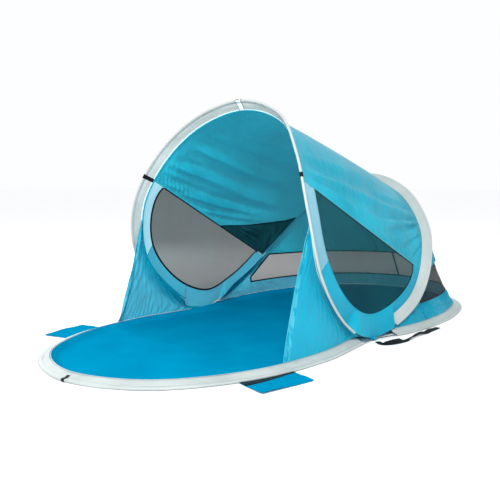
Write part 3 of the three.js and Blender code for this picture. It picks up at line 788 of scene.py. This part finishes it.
# ---- Roof ----
# Tension folds: start and end as shares of the panel (right to left, front to back), width at
# both ends, height.
ROOF_FOLDS = (
    ((0.79, 0.06), (0.71, 0.84), (0.02, 0.045), 0.0221),
    ((0.9, 0.03), (0.78, 0.95), (0.02, 0.05), 0.0273),
    ((0.94, 0.02), (0.86, 0.62), (0.012, 0.03), 0.0143),
    ((0.985, 0.16), (0.815, 1.02), (0.012, 0.034), 0.0221),
    ((0.99, 0.36), (0.83, 1.02), (0.01, 0.026), 0.0182),
    ((0.985, 0.05), (0.91, 0.5), (0.01, 0.028), 0.0091),
    ((0.7, 0.06), (0.63, 0.7), (0.02, 0.05), 0.013),
    ((0.1, 0.03), (0.27, 0.88), (0.022, 0.06), 0.013),
    ((0.04, 0.04), (0.15, 0.7), (0.012, 0.04), 0.0104),
    ((0.22, 1.0), (0.06, 0.4), (0.008, 0.04), 0.013),
    ((0.2, 1.0), (0.02, 0.58), (0.007, 0.03), 0.0117),
    ((0.26, 1.0), (0.14, 0.36), (0.008, 0.036), 0.0091),
    ((0.16, 1.0), (0.0, 0.76), (0.006, 0.022), 0.0091),
    ((0.12, 1.0), (0.0, 0.9), (0.006, 0.016), 0.0065),
)
ROOF_SAG = 0.01
# The corner pocket covers this share of the panel's width and depth from its rear left corner.
POCKET_CORNER = (0.997, 0.985)
POCKET_MOUTH = (0.795, 0.555)

u = shares(281)
roof_front = arch_edge(mix(t_roof, -t_roof, u))
roof_rear = arch_edge(mix(t_roof_rear, 1 - t_roof_rear, u))
roof = between(roof_front, roof_rear, 141)
U, V = roof.uv()
to_side = np.minimum(U, 1 - U)
right, left = roof.from_edge("a0"), roof.from_edge("a1")
front, back = roof.from_edge("b0"), roof.from_edge("b1")
height = -ROOF_SAG * np.sin(np.pi * V) * np.sin(np.pi * U) ** 0.5
# Pleats at the seams over both windows, and at the front corners, where the cloth is pulled hardest.
height += 0.0066 * gathers(roof.b, right, 0.04, 0.085, 7, 0.75)
height += 0.0068 * gathers(roof.b, left, 0.03, 0.07, 9, 0.8)
height += 0.0022 * gathers(roof.a, front, 0.05, 0.05, 10) * smooth(0.2, 0.0, to_side)
height += 0.002 * gathers(roof.a, back, 0.045, 0.06, 12)
height += roof.folds(ROOF_FOLDS)
height += 0.0055 * crumple(roof.a, roof.b, 0.17, 17) * smooth(0.4, 0.08, to_side)
for run, share, size, seed in ((right, U, 0.075, 21), (left, 1 - U, 0.07, 22)):
    tall = 0.005 if seed == 21 else 0.0045
    height += tall * crumple(roof.b + 0.8 * run, run * 0.32, size, seed) * smooth(0.26, 0.02, share)
height += 0.002 * noise(roof.a / 0.3, roof.b / 0.45, 19)
over_pocket = (U - POCKET_MOUTH[0]) / 0.202 + (V - POCKET_MOUTH[1]) / 0.43 - 1
height = roof.inside(0.03) * height * (1 - 0.88 * smooth(-0.3, 0.08, over_pocket))
sheet_piece("roof_cloth", roof, roof.lifted(height), ROOF, "roof_blue", ARCH_SLEEVES, "roof_panel")

# ---- Sides, with their half-moon windows ----
BARE_FOLD = (-0.0065, 0.004)  # across and up: where the panel is folded out over the bare wire
roof_edge = np.stack([roof_front[0], roof_rear[0]])
edge_length = float(norm(roof_edge[1] - roof_edge[0]))


def chord(u):
    k = mix(WINDOW_ENDS[0] / edge_length, 1 - WINDOW_ENDS[1] / edge_length, u)[:, None]
    return mix(roof_edge[:1], roof_edge[1:], k)


def beside_wire(t, lift=0.0, bare_reach=FOLD_R + 0.001, bare_lift=0.0):
    """Along the sleeves' inner edges, and close to the bare wire at the crossing."""
    past_end = np.minimum(t - t_front, t_rear - t) * arch.length
    bare = smooth(-0.01, 0.024, past_end)[:, None]
    P, D, N = arch_frame(t)
    tuck = smooth(-0.06, -0.01, past_end)[:, None] * (1 - bare) * 0.0035
    return P + D * mix(SLEEVE_WIDTH, bare_reach, bare) + N * (bare_lift * bare - lift - tuck)


def side_outer(u):
    return beside_wire(mix(t_roof, t_roof_rear, u), 0.0, *BARE_FOLD)


def window_curve(u):
    wire, line = arch.at(mix(t_roof, t_roof_rear, u)), chord(u)
    front, bottom, rear = WINDOW_REACH
    reach = mix(front, bottom, smooth(0, WINDOW_LOWEST, u)) + (rear - bottom) * smooth(WINDOW_LOWEST, 1, u)
    reach = np.minimum(reach, norm(line - wire, axis=1) * WINDOW_CORNER)
    return wire + unit(line - wire) * reach[:, None]


def both_sides(patch):
    return (("right", patch), ("left", mirrored(patch)))


def side_band(start, end, count, seed):
    u = np.linspace(start, end, count)
    patch = between(side_outer(u), window_curve(u), 13)
    height = 0.0034 * gathers(patch.a, patch.from_edge("b1"), 0.018, 0.026, seed, 0.5)
    height += 0.0018 * gathers(patch.a, patch.b, 0.026, 0.02, seed + 1)
    swell = np.sin(np.pi * np.clip(patch.b / patch.b[:, -1:], 0, 1))
    height += 0.0022 * swell * (0.4 + noise(patch.a / 0.12, 0 * patch.b, seed + 2))
    return patch, patch.lifted(height * patch.inside(0.008, "b0") * patch.inside(0.018, "b1"))


strip_end = float((t_strip - t_roof) / (t_roof_rear - t_roof))
for name, start, end, count, material, slot, seed in (
    ("side_strip", 0.0, strip_end, 90, PALE, "pale_blue", 70),
    ("side_panel", strip_end, 1.0, 260, *WALL, 75),
):
    plain, folded = side_band(start, end, count, seed)
    for (side, flat_patch), (_, patch) in zip(both_sides(plain), both_sides(folded)):
        sheet_piece(f"{name}_cloth_{side}", flat_patch, patch, material, slot, ARCH_SLEEVES, f"{name}_{side}")

u = 0.5 - 0.5 * np.cos(np.pi * shares(121))
window = between(window_curve(u), chord(u), 41)
dist = np.minimum(window.from_edge("b0"), window.from_edge("b1"))
along, up = window.p[..., 1], window.p[..., 2]
height = 0.0022 * noise(along / 0.11, up / 0.05, 81) * smooth(0.0, 0.05, dist)
height += 0.0016 * gathers(along, dist, 0.034, 0.03, 83, 0.4)
net = window.lifted(height * smooth(0, 0.01, dist))
for (side, plain), (_, patch) in zip(both_sides(window), both_sides(net)):
    around = [f"side_panel_cloth_{side}", "roof_cloth"]
    sheet_piece(f"window_mesh_{side}", plain, patch, MESH[side], "mesh_black", around, f"side_window_{side}")

u = 0.5 - 0.5 * np.cos(np.pi * shares(161))
curve = window_curve(u)
curve_across = chord(u) - curve
curve_across[0] = curve_across[1]
curve_across[-1] = curve_across[-2]
line = chord(shares(90))
line_across = np.tile(unit(roof_front[3] - roof_front[0]), (len(line), 1))
for side, sign in BOTH:
    flip = (sign, 1, 1)
    trim(
        f"window_tape_curve_{side}", curve * flip, curve_across * flip, *BLACK, 0.009, 0.0022,
        -0.0029 * sign, f"side_window_tape_{side}",
    )
    trim(f"window_tape_line_{side}", line * flip, line_across * flip, *BLACK, 0.006, 0.0026)

# A turned seam where the panels meet the front sleeve, on the inside, and beside it a pale strip that paints
# the highlight along the sleeve's inner edge.
t = np.linspace(-t_front, t_front, 420)
P, D, N = arch_frame(t)
route = P + D * (SLEEVE_WIDTH + 0.0025) - N * 0.0016
trim("seam_front_arch", route, D, *BLUE, 0.0065, 0.0018)
route = P + D * (SLEEVE_WIDTH - 0.003) - N * 0.0018
trim("highlight_front_arch", route, D, EDGE_HIGHLIGHT_STRIP, "sleeve_grey", 0.005, 0.0016)
t = np.linspace(t_rear, 1 - t_rear, 420)
P, D, N = arch_frame(t)
trim("seam_rear_arch", P + D * (SLEEVE_WIDTH + 0.001) - N * 0.0014, D, *BLUE, 0.006, 0.0014)
# The cross seam between the pale strip and the blue panel.
u = np.full(12, strip_end)
route = mix(side_outer(u), window_curve(u), np.linspace(0.03, 0.97, 12)[:, None])
across = np.tile(arch.tangent(t_strip)[0], (12, 1))
for side, sign in BOTH:
    flip = (sign, 1, 1)
    trim(f"strip_seam_{side}", route * flip, across * flip, *BLUE, 0.004, 0.0022)

# ---- Wings ----
WING_FOLDS = (
    ((0.0, 1.0), (0.07, 0.05), (0.006, 0.016), 0.005),
    ((0.0, 1.0), (0.16, 0.02), (0.007, 0.024), 0.0075),
    ((0.02, 1.0), (0.3, 0.04), (0.008, 0.026), 0.007),
    ((0.05, 1.0), (0.46, 0.06), (0.009, 0.026), 0.006),
    ((0.1, 1.0), (0.62, 0.08), (0.01, 0.024), 0.0045),
    ((0.0, 0.0), (0.2, 0.85), (0.008, 0.024), 0.0045),
)
WING_STRENGTH = (0.32, 1.0)  # the left wing hangs slacker
HEM_WIDTH = 0.03


def wing(foot_y, seed, strength):
    u = shares(151)
    top = beside_wire(mix(t_wing, t_heel, u), 0.0022)
    foot = wall_foot(mix(foot_y, WING_HEEL_Y, u))
    patch = between(top, foot, 91)
    U, V = patch.uv()
    height = 0.008 * gathers(patch.a, patch.b, 0.038, 0.15, seed, 0.25) * strength
    height += 0.0044 * strength * gathers(patch.a, patch.from_edge("b1"), 0.024, 0.06, seed + 1)
    height += strength * patch.folds(WING_FOLDS)
    height += 0.0012 * crumple(patch.a, patch.b, 0.11, seed + 3)
    sweep = 0.012 * np.sin(np.pi * V) * (1 - smooth(0, 0.5, U))
    return patch, patch.lifted((height + sweep) * patch.inside(0.012, "b0", "b1", "a1"))


for side, foot_y, seed, strength in zip(("right", "left"), WING_FOOT_Y, (91, 101), WING_STRENGTH):
    plain, folded = wing(foot_y, seed, strength)
    if side == "left":
        plain, folded = mirrored(plain), mirrored(folded)
    sheet_piece(
        f"wing_cloth_{side}", plain, folded, *WALL, ["arch_sleeve_front", "porch_sleeve"],
        f"wing_{side}",
    )
    # The free front edge is a hem: the cloth turned over on itself, given lighter shades than the side cloth
    # that paint the light on it.
    columns = np.nonzero(folded.a.mean(1) <= HEM_WIDTH)[0][-1] + 1
    hem = Patch(folded.p[:columns])
    crinkle = 0.0022 * crumple(hem.a, hem.b, 0.03, 109)
    crinkle += 0.0016 * gathers(hem.b, hem.a, 0.013, 0.05, 110, 0.6)
    hem = hem.lifted(crinkle * hem.inside(0.004, "a0", "b0", "b1"))
    finish_piece(slab_piece(f"wing_hem_{side}", hem, 0.0016, HEM_PAINTED_LIGHT), "tent", "side_blue")

# ---- Rear wall ----
FOLD_LAP = 0.0065
HEAD_DROP = 0.022  # the window's head stays this far under the rear hoop
END_RISE = 0.048  # the window starts where the hoop has risen this far over its sill
LOW_PLEATS = ((0.0125, 0.024, 0.055, 111, 0.3), (0.006, 0.029, 0.03, 112, 0.0))
UPPER_PLEATS = ((0.014, 0.034, 0.11, 121, 0.15), (0.006, 0.044, 0.08, 122, 0.0))


def rear_lines(u):
    """Feet and tops of the wall's lines; u runs from the right leg (0) over the centre to the left leg (2)."""
    k = np.where(u <= 1, u, 2 - u)
    top_t = np.where(u <= 1, mix(t_rear, 0.5, k), 1 - mix(t_rear, 0.5, k))
    t0 = floor_at(REAR_WALL_Y)
    foot_t = np.where(u <= 1, mix(t0, 0.5, k), 1 - mix(t0, 0.5, k))
    return floor_edge(foot_t, SLEEVE_WIDTH - WALL_LAP, WALL_LIFT), arch_edge(top_t, 0.0, -FOLD_LAP), k


def rear_at(u, z):
    """Points of the wall at heights z (n, m) on its lines."""
    foot, top, side = rear_lines(u)
    k = np.clip((z - foot[:, None, 2]) / (top[:, None, 2] - foot[:, None, 2]), 0, 1)
    pull = REAR_WALL_PULL * 4 * k * (1 - k) * np.sin(np.pi * side)[:, None]
    p = mix(foot[:, None], top[:, None], k[..., None])
    return p + unit(p * (-1, -1, 0)) * pull[..., None]


def rear_line(u, low, high, count):
    """Points up one line of the wall."""
    return rear_at(np.array([u]), mix(low, high, shares(count))[None])[0]


def window_head(u):
    return np.minimum(REAR_WINDOW_HIGH, rear_lines(u)[1][:, 2] - HEAD_DROP)


def wall_patch(u, low, high, rows):
    return Patch(rear_at(u, mix(low[:, None], high[:, None], shares(rows)[None])))


probe = shares(800)
end_u = float(probe[np.argmax(rear_lines(probe)[1][:, 2] > REAR_WINDOW_LOW + END_RISE)])
leg_u = np.linspace(0.004, end_u, 24)
u = np.concatenate([leg_u, np.linspace(end_u, 2 - end_u, 241), np.linspace(2 - end_u, 1.996, 24)])
foot, top, _ = rear_lines(u)
# Beside the window's upright end the low wall climbs to the rear hoop.
at_leg = np.abs(np.arange(len(u)) - (len(u) - 1) / 2) > 120.5
low_wall = wall_patch(u, foot[:, 2], np.where(at_leg, top[:, 2], REAR_WINDOW_LOW), 25)
height = 0
for (tall, *pleat), away in zip(LOW_PLEATS, (low_wall.from_edge("b1"), low_wall.b)):
    height += tall * gathers(low_wall.a, away, *pleat)
height += 0.0014 * crumple(low_wall.a, low_wall.b, 0.09, 113)
from_centre = np.minimum(u, 2 - u)[:, None]
legs = np.exp(-(from_centre / (end_u * 1.6)) ** 2) * smooth(0, end_u * 0.4, np.abs(from_centre - end_u))
height += 0.012 * legs * crumple(low_wall.a * 1.6, low_wall.b, 0.045, 114)
low_cloth = low_wall.lifted(height * low_wall.inside(0.01, "b0", "b1"))
sheet_piece(
    "rear_low_cloth", low_wall, low_cloth, *WALL, ["back_sleeve", "arch_sleeve_rear"],
    "rear_low_wall_right", "rear_low_wall_left",
)

u = np.linspace(end_u, 2 - end_u, 261)
upper = wall_patch(u, window_head(u), rear_lines(u)[1][:, 2], 37)
(tall, *pleat), (tall_top, *pleat_top) = UPPER_PLEATS
height = tall * gathers(upper.a, upper.b, *pleat) * smooth(0, 0.05, upper.b[:, -1:])
height += tall_top * gathers(upper.a, upper.from_edge("b1"), *pleat_top)
height += 0.0018 * crumple(upper.a, upper.b, 0.14, 123)
upper_cloth = upper.lifted(height * upper.inside(0.012, "b0", "b1"))
sheet_piece(
    "rear_upper_cloth", upper, upper_cloth, ROOF, "roof_blue", ["arch_sleeve_rear"],
    "rear_upper_wall_right", "rear_upper_wall_left",
)

# The low wall's front corner is sewn down between the crossing and the groundsheet's rim.
y = np.linspace(0.0, REAR_WALL_Y + ORIGIN[1] + 0.004, 25)
P, D, N = arch_frame(np.array([arch.solve(1, v, ARCH_BOTTOM * 0.9, 0.4) for v in y]))
corner = between(P + D * 0.012 - N * 0.004, wall_foot(y), 9)
for side, patch in both_sides(corner):
    sheet_piece(f"rear_low_corner_{side}", patch, patch, *WALL, ["back_sleeve"])

# The wall's top margin lies over the inner face of the rear sleeve, up to the roof's seam.
t = np.linspace(t_rear, 1 - t_rear, 301)
margin = between(arch_edge(t, 0.0, -FOLD_LAP), arch_edge(t, SLEEVE_WIDTH - 0.002, -0.003), 11)
height = 0.0022 * crumple(margin.a, margin.b, 0.05, 127)
height += 0.0016 * gathers(margin.a, margin.b, 0.03, 0.03, 128)
margin_cloth = margin.lifted(-np.abs(height) * margin.inside(0.008, "b0", "b1"))
sheet_piece("rear_margin_cloth", margin, margin_cloth, *WALL, ["arch_sleeve_rear"])

TAPE_WIDE, TAPE_THICK = 0.008, 0.0026
for side, lo, hi in (("right", end_u, 1.0), ("left", 1.0, 2 - end_u)):
    u = np.linspace(lo, hi, 101)
    pane = wall_patch(u, np.full(101, REAR_WINDOW_LOW), window_head(u), 17)
    height = 0.002 * noise(pane.a / 0.07, pane.b / 0.06, 131)
    height += 0.002 * gathers(pane.a, pane.from_edge("b1"), 0.04, 0.05, 132, 0.8)
    net = pane.lifted(height * pane.inside(0.012))
    sheet_piece(
        f"rear_mesh_{side}", pane, net, REAR_MESH, "mesh_black", ["rear_low_cloth", "rear_upper_cloth"],
        f"rear_window_{side}",
    )
    edge_u = np.linspace(lo, hi, 80)
    for part, z, nodes in (
        ("low", np.full(80, REAR_WINDOW_LOW), [f"rear_window_tape_{side}"]), ("head", window_head(edge_u), []),
    ):
        route = rear_at(edge_u, z[:, None])[:, 0]
        across = rear_at(edge_u, z[:, None] + 0.01)[:, 0] - rear_at(edge_u, z[:, None] - 0.01)[:, 0]
        trim(f"rear_tape_{part}_{side}", route, across, *BLACK, TAPE_WIDE, TAPE_THICK, 0.0, *nodes)
    end = lo if side == "right" else hi
    route = rear_line(end, REAR_WINDOW_LOW, float(window_head(np.array([end]))[0]), 16)
    across = np.tile(np.cross(unit(route[-1] - route[0]), unit(route[0] * (1, 1, 0))), (16, 1))
    trim(f"rear_tape_end_{side}", route, across, *BLACK, TAPE_WIDE, TAPE_THICK)

route = rear_line(1.0, REAR_WINDOW_LOW, REAR_WINDOW_HIGH, 20)
trim("rear_tape_centre", route, np.tile(X, (20, 1)), *BLACK, 0.01, 0.0028)

# ---- Corner pocket ----
POCKET_FOLDS = (
    ((1.0, 1.0), (0.25, 0.1), (0.006, 0.02), 0.006),
    ((1.0, 1.0), (0.45, 0.06), (0.006, 0.022), 0.0065),
    ((1.0, 1.0), (0.66, 0.05), (0.006, 0.022), 0.006),
    ((1.0, 1.0), (0.86, 0.05), (0.006, 0.018), 0.005),
    ((1.0, 1.0), (0.1, 0.45), (0.006, 0.018), 0.005),
)
POCKET_WAY = unit(np.array([0.62, -0.1, -0.78]))  # the way the pocket hangs off the roof


def roof_at(u, k):
    front = arch_edge(mix(t_roof, -t_roof, u))
    rear = arch_edge(mix(t_roof_rear, 1 - t_roof_rear, u))
    return mix(front, rear, k[:, None])


s = shares(61)
mouth = roof_at(mix(POCKET_CORNER[0], POCKET_MOUTH[0], s), mix(POCKET_MOUTH[1], POCKET_CORNER[1], s))
seam = roof_at(np.full_like(s, POCKET_CORNER[0]), mix(POCKET_MOUTH[1] + 0.01, POCKET_CORNER[1], s))
pocket = between(mouth, seam, 41)
away = np.minimum(pocket.from_edge("b1"), pocket.from_edge("a1"))
U, V = pocket.uv()
height = pocket.folds(POCKET_FOLDS)
# A fan of small folds from the pocket's sewn corner to its mouth.
spoke = np.arctan2(1.02 - V, 1.02 - U)
reach = np.hypot(1 - U, 1 - V)
fan = np.sin(spoke * 24 + 2.5 * noise(spoke * 6, reach * 3, 143))
height += 0.0075 * fan * smooth(0.05, 0.5, reach)
height += 0.0012 * crumple(pocket.a, pocket.b, 0.05, 141)
loose = smooth(0, 0.03, away) * smooth(0, 0.05, pocket.from_edge("b0"))
offset = 0.003 + 0.01 * smooth(0.0, 0.1, away) + height * loose
pocket_cloth = Patch(pocket.p + POCKET_WAY * offset[..., None])
# The pocket's near-black net also paints the shade in this corner of the roof.
sheet_piece(
    "corner_pocket_mesh", pocket, pocket_cloth, POCKET_NET_AND_SHADE, "mesh_black", ["roof_cloth"], "corner_pocket"
)
mouth_line = pocket_cloth.p[:, 0]
trim("corner_pocket_hem", mouth_line, pocket_cloth.p[:, 3] - mouth_line, *BLACK, 0.006, 0.002)

# ---- Sand pockets ----
FLAP_THICK = 0.0022
FLAP_BASE, FLAP_RISE = 0.0013, 0.0011
WEBBING_Z, WEBBING_THICK = 0.0016, 0.0014
for side, sign in BOTH:
    flip = (sign, 1, 1)
    t = np.linspace(floor_at(POCKET_EDGE[0]), floor_at(POCKET_EDGE[1]), 31)
    P, D, _ = floor_frame(t)
    out = unit(-D * (1, 1, 0))
    sewn = P + out * POCKET_STANDOFF
    sewn[:, 2] = 0
    outer = mix(*(np.array([*corner, 0.0]) for corner in POCKET_OUTER), shares(31)[:, None])
    flap = between(sewn * flip, outer * flip, 25)
    U, V = flap.uv()
    curl = 0.0035 * (smooth(0.75, 1.0, V) * (0.5 + 0.5 * np.sin(5.2 * U + sign)))
    curl += 0.0012 * (1 + noise(U * 4, V * 3, 151 + sign))
    flap.p[..., 2] += FLAP_BASE + (FLAP_RISE + curl) * smooth(0.2, 0.55, V)
    body = f"{side}_sand_pocket"
    ob = slab_piece(f"sand_pocket_cloth_{side}", flap, FLAP_THICK, FLOOR)
    finish_piece(ob, body, "floor_blue", f"sand_pocket_{side}")
    declare(flap, ["porch_sleeve"])
    rows = Patch(flap.p[1:-1, -5:-1])
    ob = slab_piece(f"sand_pocket_hem_{side}", rows, 0.0007, BLUE_TAPE, lift=0.0014 * sign)
    finish_piece(ob, body, "floor_blue")
    # A dark strip along the right flap's sewn edge, widest at the front: painted shade of the gap between the
    # sleeve and the flap.
    if side == "right":
        shadow_wedge = 0.035 + np.linspace(0.23, 0.01, 24)[:, None] * shares(5)[None]
        mouth = flap.p[:24, :1] + (flap.p[:24, -1:] - flap.p[:24, :1]) * shadow_wedge[..., None]
        top_z = np.interp(shadow_wedge.ravel(), V[0], flap.p[:24, :, 2].mean(0))
        mouth[..., 2] = top_z.reshape(shadow_wedge.shape) + 0.0017
        finish_piece(slab_piece("sand_pocket_shade_right", Patch(mouth), 0.0008, TAPE), body, "tape_black")
    # The dark webbing that joins the flap to the underside of the sleeve stays with the tent.
    start, stop = P * (1, 1, 0) - out * 0.004, sewn * (1, 1, 0) + out * 0.001
    start[:, 2] = stop[:, 2] = WEBBING_Z
    strip = between(start * flip, stop * flip, 5)
    finish_piece(slab_piece(f"pocket_webbing_{side}", strip, WEBBING_THICK, TAPE), "tent", "tape_black")

# ---- Strap ----
STRAP_ROLL, STRAP_TURNS, STRAP_THICK = math.radians(58), 1.35, 0.0014
points = np.array([(x, y, 0.0) for x, y in STRAP_ROUTE]) + ORIGIN
centre = spline(points, np.linspace(0, len(points) - 1, 141), False)
run = run_along(centre)
side_way = unit(np.cross(Z, unit(np.gradient(centre, axis=0))))
k = run / run[-1]
# The strap rolls from edge to edge along its middle and lies flat at both sewn ends.
flat_ends = smooth(0, 0.24, k) * (1 - smooth(0.66, 0.98, k))
roll = STRAP_ROLL * np.sin(2 * np.pi * (k * STRAP_TURNS + 0.02)) * flat_ends
width = STRAP_WIDTH * (1 - 0.1 * np.sin(np.pi * k * 3) ** 2)
across = side_way * np.cos(roll)[:, None] + Z * np.sin(roll)[:, None]
rise = np.abs(np.sin(roll)) * width / 2 + 0.001
middle = centre * (1, 1, 0) + Z * rise[:, None]
w = np.linspace(-0.5, 0.5, 9)[None, :, None]
strap = Patch(middle[:, None] + across[:, None] * w * width[:, None, None])
crown = 1 - np.abs(w[..., 0]) * 2
strap.p[..., 2] += 0.0012 * crown * (0.5 + 0.5 * noise(run[:, None] / 0.03, 0 * w[..., 0], 161))
ob = slab_piece("strap_webbing", strap, STRAP_THICK, TAPE)
finish_piece(ob, "strap", "tape_black", "tie_strap")

# ---- Stage, light and camera ----
STAGE_HALF, STAGE_Z = 60.0, -0.001
CAMERA_PLACE, CAMERA_TURN, CAMERA_TIP = (1.876, -2.4416, 0.6603), math.radians(40.56), math.radians(5.874)


def stage_floor():
    inputs = {"Base Color": (0.97, 0.975, 0.98, 1), "Roughness": 0.9}
    material = new_material("studio_floor", principled, inputs)
    corners = [(STAGE_HALF * x, STAGE_HALF * y, STAGE_Z) for x, y in ((-1, -1), (1, -1), (1, 1), (-1, 1))]
    new_object("studio_floor", corners, [(0, 1, 2, 3)], material)


def area_light(name, place, target, size, power):
    data = bpy.data.lights.new(name, "AREA")
    data.shape = "DISK"
    data.size = size
    data.energy = power
    ob = bpy.data.objects.new(name, data)
    ob.location = place
    ob.rotation_euler = (Vector(target) - Vector(place)).to_track_quat("-Z", "Y").to_euler()
    bpy.context.scene.collection.objects.link(ob)


stage_floor()
world = bpy.data.worlds.new("studio")
bpy.context.scene.world = world
world.use_nodes = True
world.node_tree.nodes["Background"].inputs["Color"].default_value = (0.985, 0.99, 1.0, 1)
world.node_tree.nodes["Background"].inputs["Strength"].default_value = 1.0
area_light("key", (2.3, -4.4, 3.6), (0, 0, 0.4), 0.8, 260)
area_light("back_left", (-3.6, 0.7, 1.7), (0, 0, 0.4), 1.2, 60)

camera_data = bpy.data.cameras.new("camera")
camera_data.sensor_width = 36.0
camera_data.lens = 46.97
camera_data.clip_end = 200
camera = bpy.data.objects.new("camera", camera_data)
bpy.context.scene.collection.objects.link(camera)
level = math.cos(CAMERA_TIP)
ahead = Vector((-math.sin(CAMERA_TURN) * level, math.cos(CAMERA_TURN) * level, -math.sin(CAMERA_TIP)))
camera.location = CAMERA_PLACE
camera.rotation_mode = "QUATERNION"
camera.rotation_quaternion = ahead.to_track_quat("-Z", "Y")
bpy.context.scene.camera = camera
bpy.context.scene.view_settings.view_transform = "Standard"
